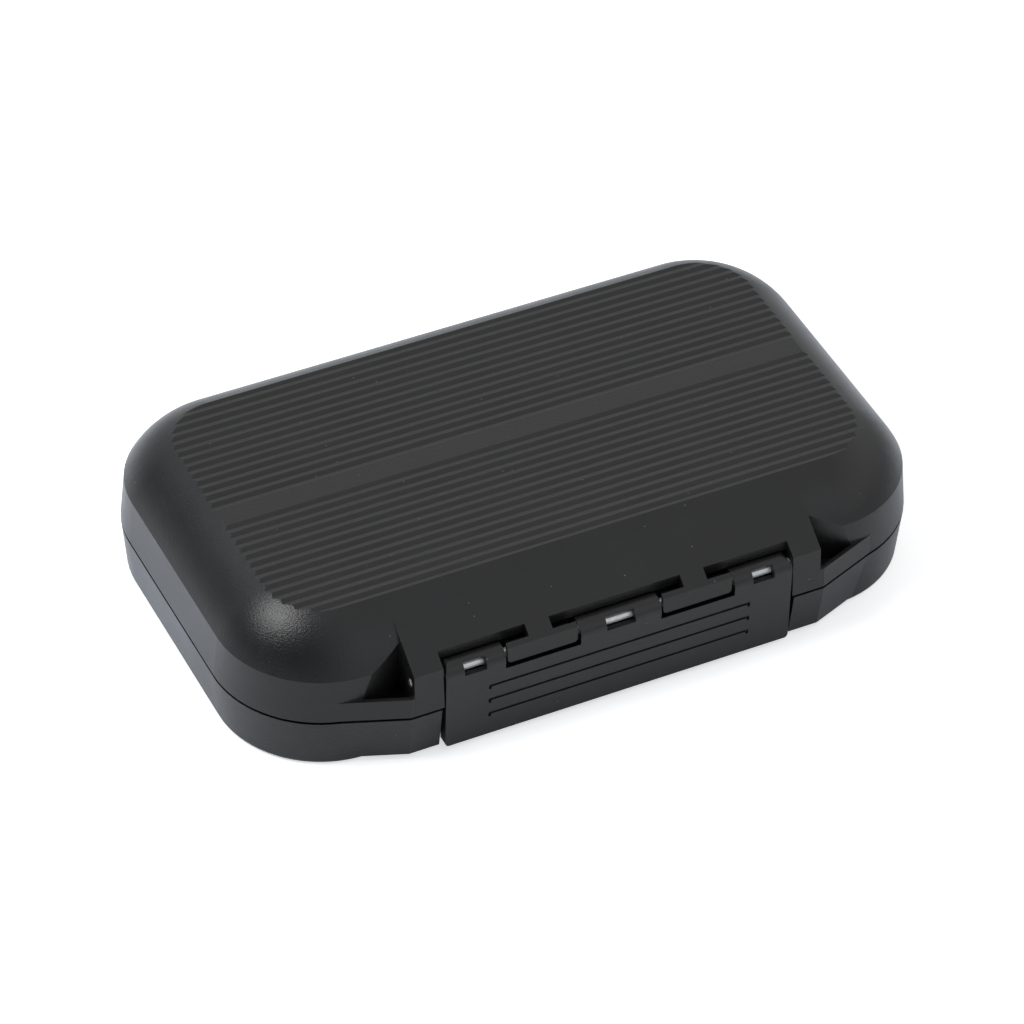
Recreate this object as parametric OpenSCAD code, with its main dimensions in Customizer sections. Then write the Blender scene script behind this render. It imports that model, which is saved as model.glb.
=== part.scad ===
// Waterproof fly box: a ribbed lid and a shallow base, hinged at the back on two steel pins,
// closed at the front by one wide snap latch that swings on a steel pin through the lid.
// Slotted foam rows inside both halves hold the flies. Millimetres, +Z up, +X along the box,
// the front with the latch faces -Y. The origin is at the middle of the foot, at table height.

/* [Case] */
// Length of the case outline at the seam
case_len = 158; // [140:1:200]
// Depth of the case outline at the seam, without latch housing and hinge
case_dep = 92.9; // [86:0.1:120]
// Radius of the four upright corners
corner_r = 24; // [21:0.5:28]
// Thickness of the rim walls, which hold the seal groove
rim_wall = 3.2; // [2.9:0.1:4]
// Gap seen between base and lid
seam_gap = 0.65; // [0.5:0.05:0.8]

/* [Base] */
// Height of the base from the foot to the seam
base_h = 12.6; // [12:0.1:18]
// How far the base walls lean in at the foot
base_draft = 0.9; // [0.5:0.1:1.4]
// Round between the base walls and its bottom
foot_r = 1.5; // [1:0.1:2]
// Thickness of the base's bottom
base_floor = 2; // [1.6:0.1:2.6]

/* [Lid] */
// Height of the lid above the seam
lid_h = 20.7; // [20:0.1:28]
// Height of the lid's upright band above the seam
band_h = 10.5; // [9.5:0.1:11]
// How far the band leans in at its top
band_draft = 0.95; // [0.6:0.05:1.4]
// Distance from the case outline in to the flat top
dome_inset = 11.8; // [10.5:0.1:13]
// Radius of the shoulder between band and top
dome_r = 22; // [19:0.5:28]
// Thickness of the lid's shoulder wall
shoulder_t = 2.4; // [2:0.1:2.8]
// Thickness of the lid's top
roof_t = 2.4; // [2.1:0.1:2.8]

/* [Ribs] */
// Spacing of the ribs on the top
rib_pitch = 2.5; // [2.2:0.1:3]
// Depth of the valleys between the ribs
rib_depth = 0.3; // [0.2:0.05:0.8]
// Width of the flat crest left between two valleys
rib_crest = 0.2; // [0.1:0.05:0.8]
// Number of valleys on each side of the plain middle band
rib_rows = 13; // [8:1:13]
// Half the width of the plain middle band
plain_half = 2.5; // [1.5:0.1:4]

/* [Latch housing] */
// How far the housing stands out in front of the case outline
boss_reach = 4.35; // [4.2:0.05:5.2]
// How far the housing's front leans in at its crease
boss_draft = 0.8; // [0.5:0.05:1]
// Height of the crease above the seam
crease_h = 10.4; // [10:0.1:11]
// Half the width of the housing above its side ledges
boss_half = 46.6; // [45.5:0.1:48]
// Half the width of the housing's straight front at the seam
wing_half = 47.6; // [47.5:0.1:50]
// Where the slanted sides run out into the corners, from the middle
wing_tip = 61.5; // [60:0.5:62]
// Height of the side ledges above the seam
ledge_h = 5; // [4.5:0.1:6]
// Depth of the hollow in each ledge
pit_depth = 3.5; // [1:0.1:4]
// Thickness of the lip round each hollow
lip_t = 1; // [0.8:0.1:1.4]
// Depth of the scoop beside the housing, measured in from the case outline at the housing
scoop_depth = 4.05; // [3:0.05:4.3]
// Where the scoops run out into the case wall, from the middle
scoop_end = 61; // [58:0.5:61.5]
// Radius of the scoops' rounded wall in plan
scoop_r = 40; // [30:1:60]
// Height of the housing's wings on the base, below the seam
wing_drop = 11.2; // [10:0.1:11.4]
// How far the base's wings lean in at their lower end
wing_draft = 1.4; // [0.8:0.1:1.8]
// Thickness of the lid's front wall at the scoops
front_wall = 2.1; // [1.8:0.1:2.4]
// Height at which the lid's front wall steps in above the seam
front_step = 4; // [3.4:0.1:4.2]

/* [Latch] */
// Width of the latch
latch_w = 79.4; // [74:0.2:80.6]
// Gap between the latch and the lid's housing at each end
latch_gap = 0.4; // [0.3:0.05:0.6]
// Gap between the latch and the base's wings at each end
latch_base_gap = 0.85; // [0.7:0.05:1.6]
// How far the latch reaches below the seam
latch_drop = 11.25; // [10.8:0.05:11.4]
// Thickness of the latch plate
latch_t = 2.5; // [2.2:0.1:2.7]
// Radius of the latch's knuckle
knuckle_r = 2.7; // [2.6:0.05:2.8]
// Height of the latch pin above the seam
pin_h = 7.55; // [7.4:0.05:7.6]
// Distance of the latch pin in front of the case outline
pin_out = 1.5; // [1.4:0.05:1.6]
// Diameter of the latch pin
pin_d = 2; // [1.6:0.1:2.2]
// Radius of the latch's upper corners
latch_corner_r = 1.8; // [1:0.1:2.4]
// Radius of the latch's lower corners
latch_foot_r = 0.9; // [0.5:0.1:1.8]
// How far the opening in the housing's roof reaches behind the latch pin
roof_gap = 1.15; // [1:0.05:1.4]
// Width of the notches that leave room for the lid's tongues
notch_w = 17.1; // [15:0.1:18]
// Distance of the tongues from the middle
tongue_x = 17.75; // [16.5:0.05:18.5]
// Gap between each tongue and its notch
tongue_gap = 0.6; // [0.4:0.05:0.7]
// Height of the tongues' lower edge above the seam
tongue_h = 6.6; // [6.5:0.05:7]
// Depth of the tongues behind the crease of the housing
tongue_t = 0.95; // [0.9:0.05:1.4]
// Radius of the tongues' lower corners
tongue_r = 0.9; // [0.5:0.1:1.3]
// Height of the notches' lower edge above the seam
notch_h = 5.75; // [5.5:0.05:5.8]
// Width of the neck that carries each tongue
neck_w = 5.4; // [4:0.2:8]
// Width of the outer windows on the pin
side_window_w = 5; // [4:0.2:7]
// Width of the middle window on the pin
mid_window_w = 6.6; // [4:0.1:9]
// Distance of the outer windows from the middle
side_window_x = 33.05; // [32:0.05:34]
// Height of the windows' lower edge above the seam
window_h = 7.15; // [6.9:0.05:7.3]
// Distance between the grip grooves
groove_pitch = 3.85; // [3.2:0.05:4]
// Width of a grip groove
groove_w = 0.65; // [0.4:0.05:0.9]
// Depth of the grip grooves
groove_depth = 0.5; // [0.3:0.05:0.7]
// How far a grip groove turns down at its ends, from its upper edge
groove_end = 1.3; // [1:0.1:2.4]
// Length of the grip grooves
groove_len = 60.2; // [40:0.2:64]

/* [Catch] */
// Length of the catch rib on the base
catch_len = 60; // [30:1:70]
// How far the catch rib stands out from the case outline
catch_out = 0.95; // [0.7:0.05:1]
// Distance of the catch rib's lower face below the seam
catch_drop = 7; // [6.5:0.1:7.4]
// Play between the catch rib and the latch's hook
catch_play = 0.3; // [0.2:0.05:0.5]

/* [Hinge] */
// Radius of the hinge knuckles
hinge_r = 2.05; // [1.8:0.05:2.3]
// Gap between the hinge knuckles and the case walls
hinge_gap = 0.25; // [0.2:0.05:0.4]
// Diameter of the hinge pins
hinge_pin_d = 1.6; // [1.4:0.1:1.8]
// Distance of each hinge from the middle
hinge_x = 38; // [25:1:44]
// Width of each hinge over its three knuckles
hinge_w = 24; // [18:0.5:30]
// Width of the lid's knuckle in each hinge
hinge_mid_w = 11.4; // [8:0.2:14]
// Gap between neighbouring knuckles
hinge_side_gap = 0.3; // [0.2:0.05:0.4]

/* [Seal] */
// Distance of the seal from the case outline
seal_inset = 1.6; // [1.5:0.05:1.9]
// Diameter of the seal cord
seal_d = 1.5; // [1.3:0.05:1.55]
// Width of the seal groove
seal_groove_w = 1.6; // [1.6:0.05:1.7]
// Depth of the seal groove
seal_groove_depth = 1.6; // [1.6:0.05:1.8]
// Height of the bead under the lid that presses the seal
bead_h = 0.5; // [0.4:0.05:0.55]

/* [Foam] */
// Thickness of the foam backing sheets
sheet_t = 1; // [0.8:0.1:1.5]
// Height of the foam rows
row_h = 4.4; // [3.5:0.1:4.6]
// Width of a foam row
row_w = 5; // [4:0.1:6]
// Distance between the foam rows in the base
base_row_pitch = 11.6; // [9:0.1:12]
// Distance between the foam rows in the lid
lid_row_pitch = 11.2; // [9:0.1:12]
// Depth of the slot along each row
slot_depth = 3; // [2:0.1:3.4]
// Width of the slot along each row
slot_w = 0.4; // [0.3:0.05:0.8]
// Gap between the foam sheets and the case walls
sheet_gap = 1.6; // [1.5:0.1:3]

/* [Hidden] */
black = "#1d1d1f";
steel = "#d8d8d6";
rubber = "#3a3a3c";
foam = "#e4e2dc";

// Overlap by which cuts pass the faces they open, and the slight air gap of pieces laid in place
past = 1;
lay_gap = 0.05;
half_seam = seam_gap / 2;
half_len = case_len / 2;
half_dep = case_dep / 2;
arc_x = half_len - corner_r;
arc_y = half_dep - corner_r;
boss_front = half_dep + boss_reach;

// Shoulder arc: it runs from the top of the band to the edge of the flat top
band_top = [corner_r - band_draft, band_h];
top_edge = [corner_r - dome_inset, lid_h];
shoulder_chord = top_edge - band_top;
shoulder_dir = shoulder_chord / norm(shoulder_chord);
shoulder_back = sqrt(pow(dome_r, 2) - pow(norm(shoulder_chord) / 2, 2));
shoulder_c = (band_top + top_edge) / 2 + shoulder_back * [-shoulder_dir.y, shoulder_dir.x];

// Inner face of the shoulder: the same arc, one wall further in
inner_r = dome_r - shoulder_t;
ceiling_h = lid_h - roof_t;
inner_x = corner_r - rim_wall;
inner_low = [inner_x, shoulder_c.y + sqrt(pow(inner_r, 2) - pow(inner_x - shoulder_c.x, 2))];
inner_high = [shoulder_c.x + sqrt(pow(inner_r, 2) - pow(ceiling_h - shoulder_c.y, 2)), ceiling_h];

// The housing's roof leaves its crease and touches the shoulder arc
boss_crease = [corner_r + boss_reach - boss_draft, crease_h];
crease_ray = boss_crease - shoulder_c;
touch_angle = atan2(crease_ray.y, crease_ray.x) + acos(dome_r / norm(crease_ray));
roof_touch = shoulder_c + dome_r * [cos(touch_angle), sin(touch_angle)];

// Latch pin and what turns on it
pin_y = -(half_dep + pin_out);
pin_r = pin_d / 2;
pin_fit = 0.02;
latch_fit = 0.05;
latch_half = latch_w / 2;
pocket_half = latch_half + latch_gap;
pocket_r = knuckle_r + 0.3;
latch_front = pin_y - knuckle_r;
latch_back = latch_front + latch_t;
behind_latch = latch_back + 0.7;
notch_r = norm([knuckle_r, pin_h - notch_h]);
barrel_r = pin_r + 1.1;
tongue_w = notch_w - 2 * tongue_gap;
tongue_back = -boss_front + boss_draft + tongue_t;
window_skin = 1.2;
window_turn = 58.5;
pin_left = -boss_half + 0.3;
pin_right = pocket_half + 4.6;
blind_end = 0.2;
hook_w = catch_len - 4;
hook_h = 2.4;
hook_lap = 0.75;
catch_y = -(half_dep + catch_out);
catch_top = 2;
groove_top = 2.5;

// Angles of the housing's leaning faces
boss_lean = atan(boss_draft / crease_h);
wing_lean = atan(wing_draft / wing_drop);
tip_y = arc_y + sqrt(pow(corner_r, 2) - pow(wing_tip - arc_x, 2));
wing_swing = atan((boss_front - tip_y) / (wing_tip - wing_half));

// Round wall of the scoops in plan: it starts inside the housing and runs out in the corner
scoop_a = [boss_half - past, -half_dep + scoop_depth];
scoop_b = [scoop_end, -half_dep - 0.15];
scoop_dir = (scoop_b - scoop_a) / norm(scoop_b - scoop_a);
scoop_back = sqrt(pow(scoop_r, 2) - pow(norm(scoop_b - scoop_a) / 2, 2));
scoop_c = (scoop_a + scoop_b) / 2 + scoop_back * [-scoop_dir.y, scoop_dir.x];
inner_front = -scoop_a.y - front_wall;

// Hinge
hinge_y = half_dep + hinge_gap + hinge_r;
hinge_pin_r = hinge_pin_d / 2;
hinge_pin_fit = 0.02;
hinge_turn_fit = 0.06;
hinge_outer_w = (hinge_w - hinge_mid_w) / 2 - hinge_side_gap;
hinge_pin_short = 0.4;
web_root = half_dep - 0.6;
slope = sqrt(0.5);

// Foam
base_ceiling = -base_h + base_floor;
base_sheet_r = corner_r - rim_wall - sheet_gap;
lid_sheet_r = inner_high.x - sheet_gap;
row_margin = 1.2;
row_bevel = 0.6;
floor_round = 1.5;

big = 400;
arc_fn = 180;
pin_fn = 48;

// Sweeps an outline round the case. In the outline, x is the distance out from the line
// through the corner centres and y is the height above the seam.
module round_ring() {
    for (sx = [0, 1], sy = [0, 1])
        mirror([sx, 0, 0]) mirror([0, sy, 0]) translate([arc_x, arc_y, 0])
            rotate_extrude(angle = 90, $fn = arc_fn) children();
    for (sy = [0, 1])
        mirror([0, sy, 0]) translate([-arc_x, arc_y, 0])
            rotate([90, 0, 90]) linear_extrude(2 * arc_x) children();
    for (sx = [0, 1])
        mirror([sx, 0, 0]) translate([arc_x, arc_y, 0])
            rotate([90, 0, 0]) linear_extrude(2 * arc_y) children();
}

// A solid of the case outline between two heights, with the swept outline as its sides
module round_block(low, high) {
    round_ring() children();
    translate([-arc_x, -arc_y, low]) cube([2 * arc_x, 2 * arc_y, high - low]);
}

// Everything behind a leaning face through the point p, which swings by turn in plan
module behind_face(p, turn, lean) {
    translate([p.x, p.y, 0]) rotate([0, 0, turn]) rotate([lean, 0, 0])
        translate([-big / 2, 0, -big / 2]) cube([big, big / 4, big]);
}

// Carries a cross-section in Y and Z along X, from x0 to x1
module along_x(x0, x1) {
    translate([x0, 0, 0]) rotate([90, 0, 90]) linear_extrude(x1 - x0) children();
}

// A round bar along X
module bar_x(x0, x1, r, y, z) {
    translate([x0, y, z]) rotate([0, 90, 0]) cylinder(h = x1 - x0, r = r, $fn = pin_fn);
}

// Half of a dished cross-section: a wall from its foot up to a, the shoulder arc to b, and a flat top
module dome_outline(wall_foot, a, b, r) {
    polygon([[0, wall_foot.y], wall_foot, a, b, [0, b.y]]);
    intersection() {
        translate(shoulder_c) circle(r, $fn = arc_fn);
        polygon([a, [a.x, b.y], b]);
    }
}

// Half of the base's cross-section, with its foot rounded
module base_outline() {
    foot_x = corner_r - base_draft - foot_r;
    polygon([
        [0, -base_h], [foot_x, -base_h], [foot_x + foot_r, -base_h + foot_r],
        [corner_r, -half_seam], [0, -half_seam]
    ]);
    translate([foot_x, -base_h + foot_r]) circle(foot_r, $fn = pin_fn);
}

// Half of the base's hollow, rounded where it meets the bottom
module base_hollow_outline() {
    polygon([
        [0, base_ceiling], [inner_x - floor_round, base_ceiling],
        [inner_x, base_ceiling + floor_round], [inner_x, past], [0, past]
    ]);
    translate([inner_x - floor_round, base_ceiling + floor_round]) circle(floor_round, $fn = pin_fn);
}

// A wing of the latch housing on the right, between two heights
module wing(low, high, inside, lean) {
    intersection() {
        behind_face([0, -boss_front], 0, lean);
        behind_face([wing_half, -boss_front], wing_swing, lean);
        translate([inside, -boss_front - past, low])
            cube([wing_tip - inside, boss_front - half_dep + rim_wall, high - low]);
    }
}

// Sharp valleys between the ribs on the top
module rib_valleys() {
    half_valley = (rib_pitch - rib_crest) / 2;
    for (side = [-1, 1], k = [0 : rib_rows - 1])
        translate([side * (plain_half + rib_pitch * (k + 0.5)), lid_h])
            polygon([
                [0, -rib_depth], [half_valley, 0], [half_valley, past],
                [-half_valley, past], [-half_valley, 0]
            ]);
}

// The space in which the latch turns, cut into the lid
module latch_pocket() {
    translate([pin_y, pin_h]) circle(pocket_r, $fn = arc_fn);
    translate([-boss_front - past, pin_h])
        square([boss_front + past + pin_y + roof_gap, lid_h]);
    translate([-boss_front - past, -past])
        square([boss_front + past + behind_latch, pin_h + past]);
}

// Cross-section of the latch housing down to the case wall
module housing_outline() {
    polygon([
        [-boss_front, half_seam], [-(arc_y + boss_crease.x), boss_crease.y],
        [-(arc_y + roof_touch.x), roof_touch.y], [-arc_y - corner_r / 2, roof_touch.y],
        [-arc_y - corner_r / 2, half_seam]
    ]);
}

// A tongue of the lid: a bar that fills the latch's notch, its neck, and its barrel on the pin
module tongue(x) {
    x0 = x - tongue_w / 2;
    x1 = x + tongue_w / 2;
    intersection() {
        along_x(x0, x1) housing_outline();
        translate([0, tongue_back, 0]) rotate([90, 0, 0]) linear_extrude(boss_front) {
            translate([x0, tongue_h + tongue_r]) square([tongue_w, lid_h]);
            translate([x0 + tongue_r, tongue_h]) square([tongue_w - 2 * tongue_r, lid_h]);
            for (side = [-1, 1])
                translate([x + side * (tongue_w / 2 - tongue_r), tongue_h + tongue_r])
                    circle(tongue_r, $fn = pin_fn);
        }
    }
    intersection() {
        along_x(x - neck_w / 2, x + neck_w / 2) housing_outline();
        translate([x - neck_w / 2, tongue_back - past / 2, pin_h])
            cube([neck_w, pin_y + pocket_r + past - tongue_back, lid_h]);
    }
    bar_x(x0 + tongue_r, x1 - tongue_r, barrel_r, pin_y, pin_h);
}

// A hinge knuckle along X with the gusset that ties it to its wall.
// up is 1 for the lid and -1 for the base.
module hinge_knuckle(x0, x1, up) {
    bar_x(x0, x1, hinge_r, hinge_y, 0);
    tangent = hinge_r * slope;
    along_x(x0, x1) polygon([
        [web_root, up * half_seam], [hinge_y, up * half_seam],
        [hinge_y + tangent, up * tangent],
        [web_root, up * (tangent + hinge_y + tangent - web_root)]
    ]);
}

// The scoop beside the housing on the right, and the hollow in the ledge in front of it
module cheek_scoop() {
    in_front = boss_front + past + scoop_a.y;
    translate([0, 0, ledge_h]) linear_extrude(lid_h) scoop_plan(in_front);
    intersection() {
        translate([0, 0, ledge_h - pit_depth]) linear_extrude(pit_depth + past) scoop_plan(in_front);
        behind_face([0, -boss_front + lip_t], 0, -boss_lean);
        behind_face([wing_half, -boss_front + lip_t], wing_swing, -boss_lean);
    }
}

// Plan of the scoop, in front of its round wall
module scoop_plan(in_front) {
    difference() {
        translate([boss_half - past, -boss_front - past])
            square([scoop_end - boss_half + 2 * past, in_front]);
        translate(scoop_c) circle(scoop_r, $fn = arc_fn);
    }
}

// Outline of the latch from the front, with its corners rounded
module latch_outline() {
    top_x = latch_half - latch_corner_r;
    top_z = pin_h + knuckle_r - latch_corner_r;
    foot_x = latch_half - latch_foot_r;
    foot_z = -latch_drop + latch_foot_r;
    translate([-latch_half, foot_z]) square([latch_w, top_z - foot_z]);
    translate([-top_x, top_z]) square([2 * top_x, latch_corner_r]);
    translate([-foot_x, -latch_drop]) square([2 * foot_x, latch_foot_r]);
    for (side = [-1, 1]) {
        translate([side * top_x, top_z]) circle(latch_corner_r, $fn = pin_fn);
        translate([side * foot_x, foot_z]) circle(latch_foot_r, $fn = pin_fn);
    }
}

// A window over the pin: a slot in the knuckle's front and the hollow behind it
module pin_window(x, w) {
    reach = knuckle_r + past;
    along_x(x - w / 2, x + w / 2) translate([pin_y, pin_h]) {
        polygon([
            [0, window_h - pin_h], [-reach, window_h - pin_h], [-reach, reach],
            [-reach * cos(window_turn), reach * sin(window_turn)], [0, 0]
        ]);
        translate([-knuckle_r + window_skin, -knuckle_r + window_skin / 2])
            square([knuckle_r + reach, knuckle_r]);
    }
}

// A narrow grip groove whose two ends turn down, with its upper edge at the height z
module grip_groove(z) {
    r = groove_w / 2;
    end_x = groove_len / 2 - r;
    translate([0, latch_front + groove_depth, z]) rotate([90, 0, 0])
        linear_extrude(groove_depth + past) {
            translate([-end_x, -groove_w]) square([2 * end_x, groove_w]);
            for (side = [-1, 1]) {
                translate([side * end_x - r, -groove_end + r]) square([groove_w, groove_end - 2 * r]);
                for (drop = [-r, -groove_end + r])
                    translate([side * end_x, drop]) circle(r, $fn = pin_fn);
            }
        }
}

// A foam row of the given half length, with a slot along its crown; up is 1 on the base
module foam_row(y, base_z, up, half_row) {
    z1 = base_z + up * row_h;
    color(foam) along_x(-half_row, half_row) polygon([
        [y - row_w / 2, base_z], [y + row_w / 2, base_z],
        [y + row_w / 2, z1 - up * row_bevel], [y + row_w / 2 - row_bevel, z1],
        [y + slot_w / 2, z1], [y + slot_w / 2, z1 - up * slot_depth],
        [y - slot_w / 2, z1 - up * slot_depth], [y - slot_w / 2, z1],
        [y - row_w / 2 + row_bevel, z1], [y - row_w / 2, z1 - up * row_bevel]
    ]);
}

// Half the length that a row at y can have on a sheet with rounded corners
function half_row(y, sheet_r) =
    arc_x + sqrt(pow(sheet_r, 2) - pow(max(0, abs(y) + row_w / 2 - arc_y), 2)) - row_margin;

// Where a row lies, counted from the front
function row_y(i, count, pitch) = (i - (count + 1) / 2) * pitch;

module base_shell() {
    color(black) translate([0, 0, base_h]) difference() {
        union() {
            round_block(-base_h, -half_seam) base_outline();
            for (s = [0, 1])
                mirror([s, 0, 0]) wing(-wing_drop, -half_seam, latch_half + latch_base_gap, wing_lean);
            along_x(-catch_len / 2, catch_len / 2) polygon([
                [-half_dep + base_draft + past, -catch_drop], [catch_y, -catch_drop],
                [catch_y, -catch_drop + catch_top], [-half_dep + past, -catch_drop + catch_top + past]
            ]);
            for (x = [-hinge_x, hinge_x], side = [-1, 1]) {
                mid = x + side * (hinge_w - hinge_outer_w) / 2;
                hinge_knuckle(mid - hinge_outer_w / 2, mid + hinge_outer_w / 2, -1);
            }
        }
        round_block(base_ceiling, past) base_hollow_outline();
        round_ring()
            translate([corner_r - seal_inset - seal_groove_w / 2, -half_seam - seal_groove_depth])
                square([seal_groove_w, seal_groove_depth + past]);
        for (x = [-hinge_x, hinge_x])
            bar_x(x - hinge_w, x + hinge_w, hinge_pin_r + hinge_pin_fit, hinge_y, 0);
    }
}

module lid_shell() {
    color(black) translate([0, 0, base_h]) difference() {
        union() {
            difference() {
                union() {
                    difference() {
                        union() {
                            round_block(half_seam, lid_h)
                                dome_outline([corner_r, half_seam], band_top, top_edge, dome_r);
                            for (s = [0, 1])
                                mirror([s, 0, 0])
                                    wing(half_seam, ledge_h, boss_half - past, -boss_lean);
                        }
                        for (s = [0, 1])
                            mirror([s, 0, 0]) cheek_scoop();
                    }
                    along_x(-boss_half, boss_half) housing_outline();
                }
                along_x(-half_len, half_len) rib_valleys();
                along_x(-pocket_half, pocket_half) latch_pocket();
                difference() {
                    round_block(half_seam - past, ceiling_h)
                        dome_outline([inner_x, half_seam - past], inner_low, inner_high, inner_r);
                    translate([-big / 2, -big / 2, front_step])
                        cube([big, big / 2 - inner_front, lid_h]);
                }
            }
            for (x = [-tongue_x, tongue_x])
                tongue(x);
            for (x = [-hinge_x, hinge_x])
                hinge_knuckle(x - hinge_mid_w / 2, x + hinge_mid_w / 2, 1);
            round_ring() translate([corner_r - seal_inset, half_seam - bead_h / 2 + past / 4])
                square([seal_groove_w / 2, bead_h + past / 2], center = true);
        }
        bar_x(-boss_half - past, pin_right + blind_end, pin_r + pin_fit, pin_y, pin_h);
        for (x = [-hinge_x, hinge_x])
            bar_x(x - hinge_w / 2, x + hinge_w / 2, hinge_pin_r + hinge_turn_fit, hinge_y, 0);
    }
}

module latch() {
    color(black) translate([0, 0, base_h]) difference() {
        union() {
            intersection() {
                along_x(-latch_half, latch_half) {
                    translate([pin_y, pin_h]) circle(knuckle_r, $fn = arc_fn);
                    translate([latch_front, -latch_drop]) square([latch_t, latch_drop + pin_h]);
                }
                translate([0, pin_y + knuckle_r + past, 0])
                    rotate([90, 0, 0]) linear_extrude(2 * knuckle_r + 2 * past) latch_outline();
            }
            along_x(-hook_w / 2, hook_w / 2) polygon([
                [latch_back - past, -catch_drop - catch_play],
                [catch_y + hook_lap, -catch_drop - catch_play],
                [catch_y + hook_lap, -catch_drop - catch_play - hook_h / 2],
                [latch_back - past, -catch_drop - catch_play - hook_h]
            ]);
        }
        for (x = [-tongue_x, tongue_x]) {
            bar_x(x - notch_w / 2, x + notch_w / 2, notch_r, pin_y, pin_h);
            translate([x - notch_w / 2, latch_front - past, notch_h])
                cube([notch_w, 2 * knuckle_r + 2 * past, pin_h + knuckle_r]);
        }
        pin_window(-side_window_x, side_window_w);
        pin_window(0, mid_window_w);
        pin_window(side_window_x, side_window_w);
        for (k = [0 : 2])
            grip_groove(groove_top - k * groove_pitch);
        bar_x(-latch_half - past, latch_half + past, pin_r + latch_fit, pin_y, pin_h);
    }
}

module latch_pin() {
    color(steel) translate([0, 0, base_h]) bar_x(pin_left, pin_right, pin_r, pin_y, pin_h);
}

module hinge_pin(x) {
    half_pin = hinge_w / 2 - hinge_pin_short;
    color(steel) translate([0, 0, base_h]) bar_x(x - half_pin, x + half_pin, hinge_pin_r, hinge_y, 0);
}

module gasket() {
    color(rubber) translate([0, 0, base_h]) round_ring()
        translate([corner_r - seal_inset, -half_seam - seal_groove_depth + seal_d / 2 + lay_gap])
            circle(d = seal_d, $fn = pin_fn);
}

module foam_sheet(low, sheet_r) {
    color(foam) translate([0, 0, low])
        round_block(0, sheet_t) square([sheet_r, sheet_t]);
}

module base_foam_sheet() {
    foam_sheet(base_floor + lay_gap, base_sheet_r);
}

module lid_foam_sheet() {
    foam_sheet(base_h + ceiling_h - lay_gap - sheet_t, lid_sheet_r);
}

module base_foam_row(i) {
    y = row_y(i, 7, base_row_pitch);
    foam_row(y, base_floor + sheet_t + 2 * lay_gap, 1, half_row(y, base_sheet_r));
}

module lid_foam_row(i) {
    y = row_y(i, 6, lid_row_pitch);
    foam_row(y, base_h + ceiling_h - sheet_t - 2 * lay_gap, -1, half_row(y, lid_sheet_r));
}

base_shell();
lid_shell();
latch();
latch_pin();
hinge_pin(-hinge_x);  // hinge_pin_left
hinge_pin(hinge_x);  // hinge_pin_right
gasket();
base_foam_sheet();
base_foam_row(1);  // base_foam_row_1
base_foam_row(2);  // base_foam_row_2
base_foam_row(3);  // base_foam_row_3
base_foam_row(4);  // base_foam_row_4
base_foam_row(5);  // base_foam_row_5
base_foam_row(6);  // base_foam_row_6
base_foam_row(7);  // base_foam_row_7
lid_foam_sheet();
lid_foam_row(1);  // lid_foam_row_1
lid_foam_row(2);  // lid_foam_row_2
lid_foam_row(3);  // lid_foam_row_3
lid_foam_row(4);  // lid_foam_row_4
lid_foam_row(5);  // lid_foam_row_5
lid_foam_row(6);  // lid_foam_row_6
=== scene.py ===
"""Looks of the fly box: black spark-textured shells, a snap latch on a steel pin, and foam inside.

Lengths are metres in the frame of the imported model: +X along the box, -Y to the latch, +Z up.
"""

import math

import bmesh
import bpy
from mathutils import Matrix, Vector, noise

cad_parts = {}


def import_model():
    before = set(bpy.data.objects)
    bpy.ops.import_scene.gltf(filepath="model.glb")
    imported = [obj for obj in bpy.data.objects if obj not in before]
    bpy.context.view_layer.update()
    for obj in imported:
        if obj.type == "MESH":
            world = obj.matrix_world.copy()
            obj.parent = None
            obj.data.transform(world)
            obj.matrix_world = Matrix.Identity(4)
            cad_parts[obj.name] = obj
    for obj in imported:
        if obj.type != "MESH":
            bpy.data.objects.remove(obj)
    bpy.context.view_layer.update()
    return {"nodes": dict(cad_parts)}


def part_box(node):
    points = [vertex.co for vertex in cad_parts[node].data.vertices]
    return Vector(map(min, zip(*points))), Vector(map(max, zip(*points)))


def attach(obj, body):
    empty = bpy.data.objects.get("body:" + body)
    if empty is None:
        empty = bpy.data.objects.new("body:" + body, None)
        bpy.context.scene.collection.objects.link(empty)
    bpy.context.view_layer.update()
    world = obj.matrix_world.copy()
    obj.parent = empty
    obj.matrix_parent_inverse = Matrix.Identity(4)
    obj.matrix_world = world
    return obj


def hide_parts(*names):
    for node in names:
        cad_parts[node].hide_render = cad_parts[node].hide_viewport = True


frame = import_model()
MM = 0.001
CASE_ARC_X = 55 * MM
NODES = frame["nodes"]


# ---------------------------------------------------------------- node helpers

def node_adder(tree):
    """A helper that adds a node to the tree, with its settings, inputs and links."""
    def add(kind, inputs=None, **settings):
        node = tree.nodes.new(kind)
        for key, value in settings.items():
            setattr(node, key, value)
        for key, value in (inputs or {}).items():
            if isinstance(value, bpy.types.NodeSocket):
                tree.links.new(value, node.inputs[key])
            else:
                node.inputs[key].default_value = value
        return node

    return add


def new_material(name):
    """A material, its node tree, its Principled shader and a helper that adds nodes."""
    mat = bpy.data.materials.new(name)
    mat.use_nodes = True
    tree = mat.node_tree
    return mat, tree, tree.nodes["Principled BSDF"], node_adder(tree)


def object_coordinates(add):
    """Coordinates in metres that stay on the piece when it moves."""
    return add("ShaderNodeTexCoord").outputs["Object"]


def noise_texture(add, where, size, detail=2.0, roughness=0.5):
    """Noise whose features are about that size, in metres."""
    return add("ShaderNodeTexNoise", {
        "Vector": where, "Scale": 1.0 / size, "Detail": detail, "Roughness": roughness,
    }).outputs["Fac"]


def map_range(add, value, low, high, to_low, to_high):
    """The value moved from one range to another, held inside it."""
    return add("ShaderNodeMapRange", {
        "Value": value, "From Min": low, "From Max": high, "To Min": to_low, "To Max": to_high,
    }).outputs["Result"]


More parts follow.
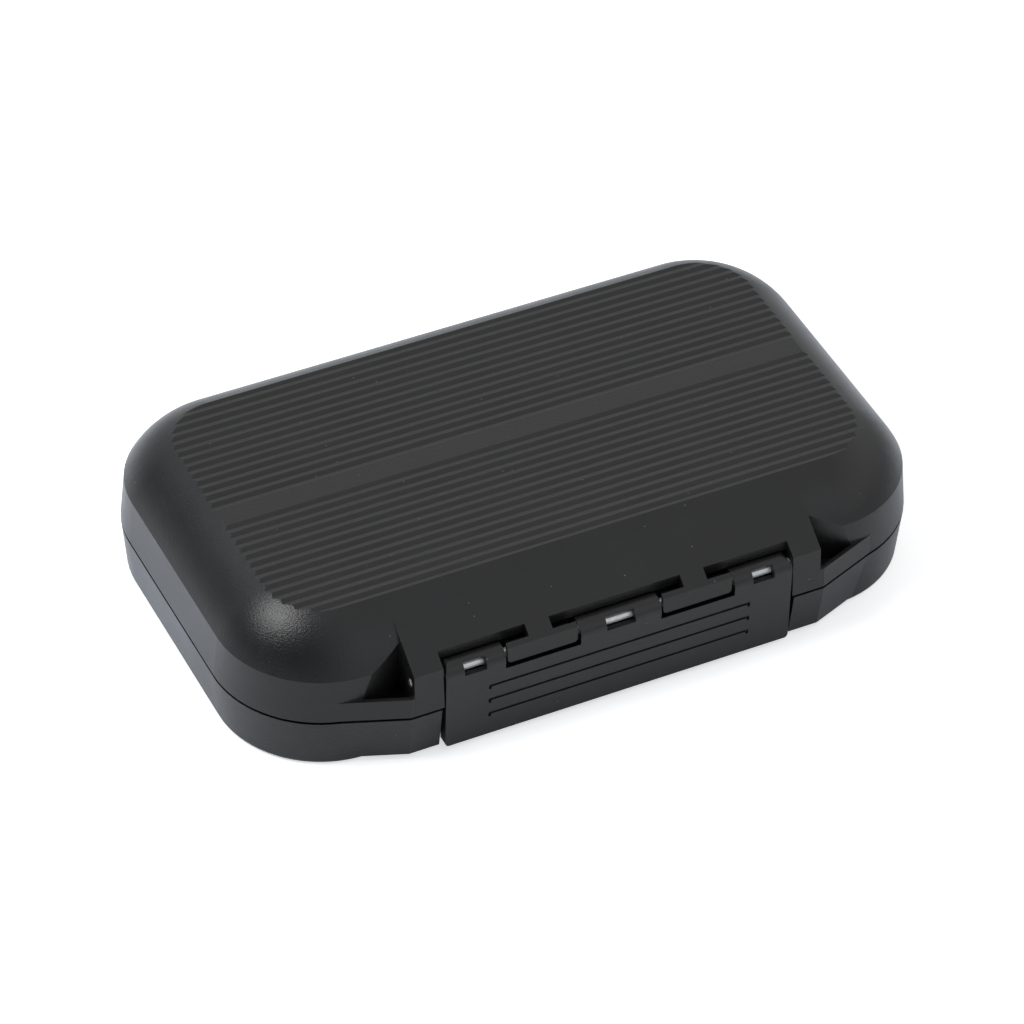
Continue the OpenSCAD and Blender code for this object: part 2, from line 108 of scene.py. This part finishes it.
def mix_colour(add, share, a, b):
    """Two colours mixed by a share that varies over the surface."""
    node = add("ShaderNodeMix", data_type="RGBA")
    for key, value in (("Factor", share), ("A", a), ("B", b)):
        socket = next(s for s in node.inputs if s.enabled and s.name == key)
        if isinstance(value, bpy.types.NodeSocket):
            node.id_data.links.new(value, socket)
        else:
            socket.default_value = value
    return next(s for s in node.outputs if s.enabled)


# ---------------------------------------------------------------- materials

EDGE_SAMPLES = 6
EDGE_FLAT_COSINE = 0.995
EDGE_SHARP_COSINE = 0.9
CLOUD_SIZE = 18 * MM
# Lighter colour for edges: partly rubbed wear, partly a painted highlight where edges catch glints.
RUBBED_AND_GLINT_TONE = (0.05, 0.05, 0.052, 1)
DUST_TONE = (0.5, 0.49, 0.47, 1)
DUST_CELL = 2 * MM
DUST_CORE = 0.03
DUST_RIM = 0.055
DUST_COVER = 0.6


def rounded_edges(add, radius):
    """A surface normal that turns smoothly over sharp edges, as on a moulded or rolled edge."""
    return add("ShaderNodeBevel", {"Radius": radius}, samples=EDGE_SAMPLES).outputs["Normal"]


def edge_share(add, soft_normal):
    """How far the rounded normal leaves the flat one: 1 on an edge, 0 on a flat."""
    flat = add("ShaderNodeNewGeometry").outputs["Normal"]
    along = add("ShaderNodeVectorMath", {0: soft_normal, 1: flat}, operation="DOT_PRODUCT")
    return map_range(add, along.outputs["Value"], EDGE_FLAT_COSINE, EDGE_SHARP_COSINE, 0.0, 1.0)


def dust_share(add, where):
    """A few dust specks: in about every sixth cell, a small dot where the surface meets it."""
    cells = add("ShaderNodeTexVoronoi", {"Vector": where, "Scale": 1 / DUST_CELL})
    dot = map_range(add, cells.outputs["Distance"], DUST_CORE, DUST_RIM, 1.0, 0.0)
    chance = add("ShaderNodeSeparateColor", {"Color": cells.outputs["Color"]}).outputs["Red"]
    chosen = map_range(add, chance, 0.83, 0.85, 0.0, DUST_COVER)
    return add("ShaderNodeMath", {0: dot, 1: chosen}, operation="MULTIPLY").outputs[0]


def moulded_plastic(name, tone, gloss, grain, depth, edge_radius):
    """Black moulded plastic: spark texture, polished edges whose lighter colour is partly rubbed wear and
    partly a painted highlight, uneven gloss and a little dust.
    """
    mat, tree, shader, add = new_material(name)
    where = object_coordinates(add)
    cloud = noise_texture(add, where, CLOUD_SIZE, 3.0)
    spark = noise_texture(add, where, grain, 3.0, 0.65)
    soft_normal = rounded_edges(add, edge_radius)
    edge = edge_share(add, soft_normal)
    dark = (tone * 0.9, tone * 0.9, tone * 0.94, 1)
    light = (tone * 1.1, tone * 1.1, tone * 1.17, 1)
    body = mix_colour(add, map_range(add, cloud, 0.35, 0.65, 0.0, 1.0), dark, light)
    # Edges are painted lighter: partly rubbed wear, partly a painted highlight standing in for edge glints.
    rubbed_and_glint = mix_colour(add, map_range(add, edge, 0, 1, 0, 0.5), body, RUBBED_AND_GLINT_TONE)
    dusty = mix_colour(add, dust_share(add, where), rubbed_and_glint, DUST_TONE)
    tree.links.new(dusty, shader.inputs["Base Color"])
    rough = map_range(add, cloud, 0.3, 0.7, gloss - 0.03, gloss + 0.03)
    worn = map_range(add, edge, 0, 1, 0, 0.06)
    finish = add("ShaderNodeMath", {0: rough, 1: worn}, operation="SUBTRACT")
    tree.links.new(finish.outputs[0], shader.inputs["Roughness"])
    bump = add("ShaderNodeBump", {
        "Height": spark, "Strength": 0.5, "Distance": depth, "Normal": soft_normal,
    })
    tree.links.new(bump.outputs["Normal"], shader.inputs["Normal"])
    return mat


def drawn_steel():
    """Bright plated steel rod with fine marks round it and rolled ends."""
    mat, tree, shader, add = new_material("drawn_steel")
    shader.inputs["Metallic"].default_value = 0.35
    stretched = add("ShaderNodeMapping", {
        "Vector": object_coordinates(add), "Scale": (1.0, 12.0, 12.0),
    }).outputs["Vector"]
    marks = noise_texture(add, stretched, 1.5 * MM, 4.0)
    tree.links.new(
        mix_colour(add, marks, (0.88, 0.88, 0.87, 1), (0.97, 0.97, 0.96, 1)),
        shader.inputs["Base Color"])
    tree.links.new(map_range(add, marks, 0.3, 0.7, 0.2, 0.3), shader.inputs["Roughness"])
    bump = add("ShaderNodeBump", {
        "Height": marks, "Strength": 0.2, "Distance": 0.01 * MM,
        "Normal": rounded_edges(add, 0.2 * MM),
    })
    tree.links.new(bump.outputs["Normal"], shader.inputs["Normal"])
    return mat


def seal_rubber():
    """Dark grey soft rubber with a dry bloom."""
    mat, tree, shader, add = new_material("seal_rubber")
    bloom = noise_texture(add, object_coordinates(add), 4 * MM, 4.0, 0.6)
    tree.links.new(
        mix_colour(add, map_range(add, bloom, 0.4, 0.7, 0, 1),
                   (0.035, 0.035, 0.037, 1), (0.075, 0.075, 0.078, 1)),
        shader.inputs["Base Color"])
    tree.links.new(map_range(add, bloom, 0.3, 0.7, 0.62, 0.78), shader.inputs["Roughness"])
    skin = noise_texture(add, object_coordinates(add), 0.2 * MM)
    bump = add("ShaderNodeBump", {"Height": skin, "Strength": 0.3, "Distance": 0.02 * MM})
    tree.links.new(bump.outputs["Normal"], shader.inputs["Normal"])
    return mat


def closed_cell_foam():
    """Off-white closed-cell foam: small cells, a dull skin and slight yellowing."""
    mat, tree, shader, add = new_material("closed_cell_foam")
    where = object_coordinates(add)
    cells = add("ShaderNodeTexVoronoi", {"Vector": where, "Scale": 1 / (0.45 * MM)}).outputs["Distance"]
    age = noise_texture(add, where, 14 * MM, 3.0)
    tree.links.new(
        mix_colour(add, map_range(add, age, 0.35, 0.7, 0, 1),
                   (0.80, 0.785, 0.745, 1), (0.72, 0.695, 0.63, 1)),
        shader.inputs["Base Color"])
    tree.links.new(map_range(add, cells, 0.0, 0.8, 0.78, 0.92), shader.inputs["Roughness"])
    shader.inputs["Specular IOR Level"].default_value = 0.3
    bump = add("ShaderNodeBump", {"Height": cells, "Strength": 0.6, "Distance": 0.08 * MM})
    tree.links.new(bump.outputs["Normal"], shader.inputs["Normal"])
    return mat


SHELL = moulded_plastic("shell_plastic", tone=0.0095, gloss=0.31, grain=0.42 * MM, depth=0.16 * MM,
                        edge_radius=0.12 * MM)
LATCH = moulded_plastic("latch_plastic", tone=0.013, gloss=0.34, grain=0.4 * MM, depth=0.06 * MM,
                        edge_radius=0.2 * MM)
STEEL = drawn_steel()
RUBBER = seal_rubber()
FOAM = closed_cell_foam()


# ---------------------------------------------------------------- CAD pieces that keep their mesh

def dress(node, material):
    """Gives a CAD node its finish."""
    piece = NODES[node]
    piece.data.materials.clear()
    piece.data.materials.append(material)


dress("base_shell", SHELL)
dress("lid_shell", SHELL)
dress("latch", LATCH)
for pin in ("latch_pin", "hinge_pin_left", "hinge_pin_right"):
    dress(pin, STEEL)


# ---------------------------------------------------------------- mesh helpers

def mesh_object(name, mesh_name, form, material):
    """A smooth-shaded object of the given mesh and material in the scene."""
    mesh = bpy.data.meshes.new(mesh_name)
    form.to_mesh(mesh)
    form.free()
    mesh.materials.append(material)
    for polygon in mesh.polygons:
        polygon.use_smooth = True
    piece = bpy.data.objects.new(name, mesh)
    bpy.context.scene.collection.objects.link(piece)
    return piece


def lofted(rings, closed_ends=True):
    """A mesh through rings of points, with its two ends filled."""
    form = bmesh.new()
    rows = [[form.verts.new(p) for p in ring] for ring in rings]
    count = len(rows[0])
    for a, b in zip(rows, rows[1:]):
        for i in range(count):
            j = (i + 1) % count
            form.faces.new((a[i], a[j], b[j], b[i]))
    if closed_ends:
        form.faces.new(list(reversed(rows[0])))
        form.faces.new(rows[-1])
    bmesh.ops.recalc_face_normals(form, faces=form.faces)
    return form


def ring_path(half_x, half_y, corner, steps):
    """Points and outward directions round a rectangle with rounded corners."""
    path = []
    for sx, sy, start in ((1, 1, 0), (-1, 1, 90), (-1, -1, 180), (1, -1, 270)):
        for k in range(steps + 1):
            a = math.radians(start + 90 * k / steps)
            out = Vector((math.cos(a), math.sin(a), 0))
            centre = Vector((sx * (half_x - corner), sy * (half_y - corner), 0))
            path.append((centre + out * corner, out))
    return path


# ---------------------------------------------------------------- seal

SEAL_RADIUS = 0.75 * MM
SEAL_FLASH = 0.05 * MM
SEAL_ARC_STEPS = 18
SEAL_SIDES = 16
WELD_DISTANCE = 0.001 * MM


def seal_cord(name, body):
    """The moulded rubber cord of the seal: a round section with a fine flash line inside and out."""
    low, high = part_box(name)
    half_x = high.x - SEAL_RADIUS
    half_y = high.y - SEAL_RADIUS
    middle = (low.z + high.z) / 2
    corner = half_x - CASE_ARC_X
    rings = []
    for place, out in ring_path(half_x, half_y, corner, SEAL_ARC_STEPS):
        ring = []
        for k in range(SEAL_SIDES):
            a = 2 * math.pi * k / SEAL_SIDES
            on_flash_line = k in (0, SEAL_SIDES // 2)
            r = SEAL_RADIUS - SEAL_FLASH * (0 if on_flash_line else 1)
            ring.append(place + out * r * math.cos(a) + Vector((0, 0, middle + r * math.sin(a))))
        rings.append(ring)
    form = lofted(rings + rings[:1], closed_ends=False)
    bmesh.ops.remove_doubles(form, verts=form.verts, dist=WELD_DISTANCE)
    piece = mesh_object(name + "_cord", name + "_cord", form, RUBBER)
    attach(piece, body)
    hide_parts(name)
    return piece


# ---------------------------------------------------------------- foam

ROW_STEPS = 60
ROW_CROWN = 0.7 * MM
ROW_END = 1.5 * MM
ROW_WAVE = 0.05 * MM
ROW_SIDE_INSET = 0.08 * MM
ROW_TOP_INSET = 0.04 * MM
SHOULDER = 1.1 * MM
SHOULDER_ANGLES = (20, 45, 70)
SLIT_W = 0.4 * MM
SLIT_DEPTH = 3.0 * MM
SLIT_LIP = 0.45 * MM
SLIT_ROUND = 0.1 * MM
SLIT_MOUTH = 0.4 * MM
SHEET_EDGE = 0.3 * MM
SHEET_ARC_STEPS = 12


def foam_piece(name, body, form):
    """A foam piece of the given mesh, which stands for its CAD node."""
    piece = mesh_object(name + "_soft", name + "_foam", form, FOAM)
    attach(piece, body)
    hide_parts(name)
    return piece


def foam_row(name, body, up):
    """A slit foam row: rounded shoulders, a slit that wanders a little, and soft ends."""
    low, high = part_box(name)
    half_w = (high.y - low.y) / 2
    mid_y = (high.y + low.y) / 2
    tall = high.z - low.z
    rings = []
    for k in range(ROW_STEPS + 1):
        t = k / ROW_STEPS
        x = low.x + (high.x - low.x) * t
        end = min(t, 1 - t) * (high.x - low.x)
        soft = ROW_CROWN * max(0.0, 1 - end / ROW_END) ** 2
        wave = ROW_WAVE * noise.noise(Vector((x * 400, mid_y * 900, low.z * 300)))
        w = half_w - soft - ROW_SIDE_INSET + wave
        top = tall - soft - ROW_TOP_INSET + wave / 2
        slit = SLIT_W / 2 * (0.75 + 0.25 * noise.noise(Vector((x * 250, mid_y * 900, 7.0))))
        profile = [(-w, 0.0), (-w, top - SHOULDER)]
        for angle in SHOULDER_ANGLES:
            a = math.radians(angle)
            profile.append((-w + SHOULDER * (1 - math.cos(a)), top - SHOULDER * (1 - math.sin(a))))
        profile += [
            (-w + SHOULDER, top),
            (-slit - SLIT_LIP, top),
            (-slit - SLIT_ROUND, top - SLIT_ROUND),
            (-slit, top - SLIT_MOUTH),
            (-slit * 0.6, top - SLIT_DEPTH),
        ]
        profile += [(-y, z) for y, z in reversed(profile)]
        base = low.z if up > 0 else high.z
        rings.append([(x, mid_y + y, base + up * z) for y, z in profile])
    return foam_piece(name, body, lofted(rings))


def foam_sheet(name, body):
    """The foam backing sheet, with a soft edge, cut to the rounded outline of the case."""
    low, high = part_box(name)
    outline = ring_path(high.x, high.y, high.x - CASE_ARC_X, SHEET_ARC_STEPS)
    levels = (
        (low.z, SHEET_EDGE),
        (low.z + SHEET_EDGE, 0),
        (high.z - SHEET_EDGE, 0),
        (high.z, SHEET_EDGE),
    )
    rings = []
    for z, inset in levels:
        rings.append([place - out * inset + Vector((0, 0, z)) for place, out in outline])
    return foam_piece(name, body, lofted(rings))


seal_cord("gasket", "base")
foam_sheet("base_foam_sheet", "base")
foam_sheet("lid_foam_sheet", "lid")
for i in range(1, 8):
    foam_row("base_foam_row_%d" % i, "base", up=1)
for i in range(1, 7):
    foam_row("lid_foam_row_%d" % i, "lid", up=-1)


# ---------------------------------------------------------------- floor, lamps and camera

FLOOR_SIDES = 72
FLOOR_FLAT = 4.0
COVE_RADIUS = 1.2
COVE_STEPS = 9
FLOOR_SEEN = 0.6
FLOOR_NEAR = 0.10
FLOOR_FAR = 0.30
FLOOR_FRONT_Y = -0.06
FLOOR_MIDDLE_Y = 0.01
MIRRORED_FRONT = 0.03
MIRRORED_MIDDLE = 0.42
MIRRORED_COOL = (0.84, 0.98, 1.2, 1)
STEP_TOP_Y = 47.5 * MM
STEP_FOOT_Y = 50.5 * MM
STEP_DROP = 8.5 * MM


def floor_white():
    """White paper, lifted where the camera sees it.

    What a gloss mirrors of it is brightest close beside the box, and dull in front of the box.
    """
    mat, tree, shader, add = new_material("floor_white")
    shader.inputs["Base Color"].default_value = (0.9, 0.9, 0.9, 1)
    shader.inputs["Roughness"].default_value = 0.9
    shader.inputs["Specular IOR Level"].default_value = 0.0
    path = add("ShaderNodeLightPath")
    seen = add("ShaderNodeMath", {0: path.outputs["Is Camera Ray"], 1: FLOOR_SEEN}, operation="MULTIPLY")
    mirrored = add("ShaderNodeMath", {
        0: path.outputs["Is Glossy Ray"], 1: path.outputs["Is Transmission Ray"],
    }, operation="MAXIMUM")
    where = object_coordinates(add)
    away = add("ShaderNodeVectorMath", {0: where}, operation="LENGTH").outputs["Value"]
    depth = add("ShaderNodeSeparateXYZ", {"Vector": where}).outputs["Y"]
    beside = map_range(add, depth, FLOOR_FRONT_Y, FLOOR_MIDDLE_Y, MIRRORED_FRONT, MIRRORED_MIDDLE)
    close = map_range(add, away, FLOOR_NEAR, FLOOR_FAR, 1.0, 0.0)
    paper = add("ShaderNodeMath", {0: beside, 1: close}, operation="MULTIPLY").outputs[0]
    lift = add("ShaderNodeMath", {
        0: mirrored.outputs[0], 1: paper, 2: seen.outputs[0],
    }, operation="MULTIPLY_ADD")
    tint = mix_colour(add, mirrored.outputs[0], (1, 1, 1, 1), MIRRORED_COOL)
    glow = add("ShaderNodeEmission", {"Color": tint, "Strength": lift.outputs[0]})
    both = add("ShaderNodeAddShader", {0: shader.outputs[0], 1: glow.outputs[0]})
    tree.links.new(both.outputs[0], tree.nodes["Material Output"].inputs["Surface"])
    return mat


def floor():
    """A round sheet of white paper that curves up at its far edge, and keeps the object's shadow.

    It drops a small step behind the box, because the lid is deeper than the base and lies lower
    than the box's foot when it is open.
    """
    rings = [(0.02, 0.0), (0.5, 0.0), (FLOOR_FLAT, 0.0)]
    for k in range(1, COVE_STEPS + 1):
        turn = math.radians(90 * k / COVE_STEPS)
        rings.append((FLOOR_FLAT + COVE_RADIUS * math.sin(turn), COVE_RADIUS * (1 - math.cos(turn))))
    around = [2 * math.pi * k / FLOOR_SIDES for k in range(FLOOR_SIDES)]
    form = lofted([[(r * math.cos(a), r * math.sin(a), z) for a in around] for r, z in rings], False)
    form.faces.new(form.verts[:FLOOR_SIDES])
    for y in (STEP_TOP_Y, STEP_FOOT_Y):
        whole = form.verts[:] + form.edges[:] + form.faces[:]
        bmesh.ops.bisect_plane(form, geom=whole, plane_co=(0, y, 0), plane_no=(0, 1, 0))
    for vert in form.verts:
        if vert.co.y > STEP_FOOT_Y - 0.1 * MM:
            vert.co.z -= STEP_DROP
    piece = mesh_object("floor", "floor", form, floor_white())
    for polygon in piece.data.polygons:
        on_cove = polygon.center.z > 1 * MM
        polygon.use_smooth = on_cove


ROOM_LEVEL = 0.85
ROOM_TOP_LEVEL = 0.6
ROOM_DIM_LEVEL = 0.14
ROOM_DIM_SIDE = Vector((-0.97, -0.24, 0.0))
ROOM_COOL = (0.84, 0.96, 1.14, 1)
ROOM_PLAIN = (1.0, 1.0, 0.985, 1)


def world():
    """A pale room with a duller ceiling, and with a dim and cool side on the left."""
    room = bpy.data.worlds.new("room")
    bpy.context.scene.world = room
    room.use_nodes = True
    tree = room.node_tree
    add = node_adder(tree)
    way = add("ShaderNodeTexCoord").outputs["Generated"]
    side = add("ShaderNodeVectorMath", {0: way, 1: ROOM_DIM_SIDE}, operation="DOT_PRODUCT").outputs["Value"]
    height = add("ShaderNodeSeparateXYZ", {"Vector": way}).outputs["Z"]
    bright = map_range(add, height, 0.68, 0.85, ROOM_LEVEL, ROOM_TOP_LEVEL)
    light = tree.nodes["Background"]
    tree.links.new(map_range(add, side, 0.0, 0.55, bright, ROOM_DIM_LEVEL), light.inputs["Strength"])
    cool = map_range(add, side, -0.3, 0.6, 0, 1)
    tree.links.new(mix_colour(add, cool, ROOM_PLAIN, ROOM_COOL), light.inputs["Color"])


def lamp(name, place, aim, width, height, power):
    """A soft rectangular lamp."""
    data = bpy.data.lights.new(name, "AREA")
    data.shape = "RECTANGLE"
    data.size = width
    data.size_y = height
    data.energy = power
    piece = bpy.data.objects.new(name, data)
    bpy.context.scene.collection.objects.link(piece)
    piece.location = place
    piece.rotation_euler = (Vector(aim) - Vector(place)).to_track_quat("-Z", "Y").to_euler()
    return piece


CAMERA_AZIMUTH = math.radians(-26.783)
CAMERA_ELEVATION = math.radians(41.717)
CAMERA_ROLL = math.radians(1.514)
CAMERA_DISTANCE = 1.0640
SEAM_HEIGHT = 12.6 * MM
FOCAL_PX = 5000
FRAME_PX = 1024
AIM_PX = (513.61, 502.91)


def camera():
    """The photograph's camera. It aims at the middle of the case at the height of the seam."""
    a, e, roll = CAMERA_AZIMUTH, CAMERA_ELEVATION, CAMERA_ROLL
    back = Vector((math.sin(a) * math.cos(e), -math.cos(a) * math.cos(e), math.sin(e)))
    right = Vector((math.cos(a), math.sin(a), 0))
    up = back.cross(right)
    turned_right = right * math.cos(roll) + up * math.sin(roll)
    turned_up = up * math.cos(roll) - right * math.sin(roll)
    data = bpy.data.cameras.new("camera")
    data.sensor_width = 36
    data.lens = 36 * FOCAL_PX / FRAME_PX
    data.shift_x = (FRAME_PX / 2 - AIM_PX[0]) / FRAME_PX
    data.shift_y = (AIM_PX[1] - FRAME_PX / 2) / FRAME_PX
    data.clip_start = 0.05
    data.clip_end = 20
    piece = bpy.data.objects.new("camera", data)
    bpy.context.scene.collection.objects.link(piece)
    turn = Matrix((turned_right, turned_up, back)).transposed().to_4x4()
    place = Vector((0, 0, SEAM_HEIGHT)) + back * CAMERA_DISTANCE
    piece.matrix_world = Matrix.Translation(place) @ turn
    bpy.context.scene.camera = piece


floor()
world()
lamp("key", place=(-0.55, 0.16, 0.83), aim=(0, 0, 0), width=0.42, height=0.42, power=5.0)
camera()
bpy.context.scene.view_settings.view_transform = "Standard"

bpy.context.view_layer.update()
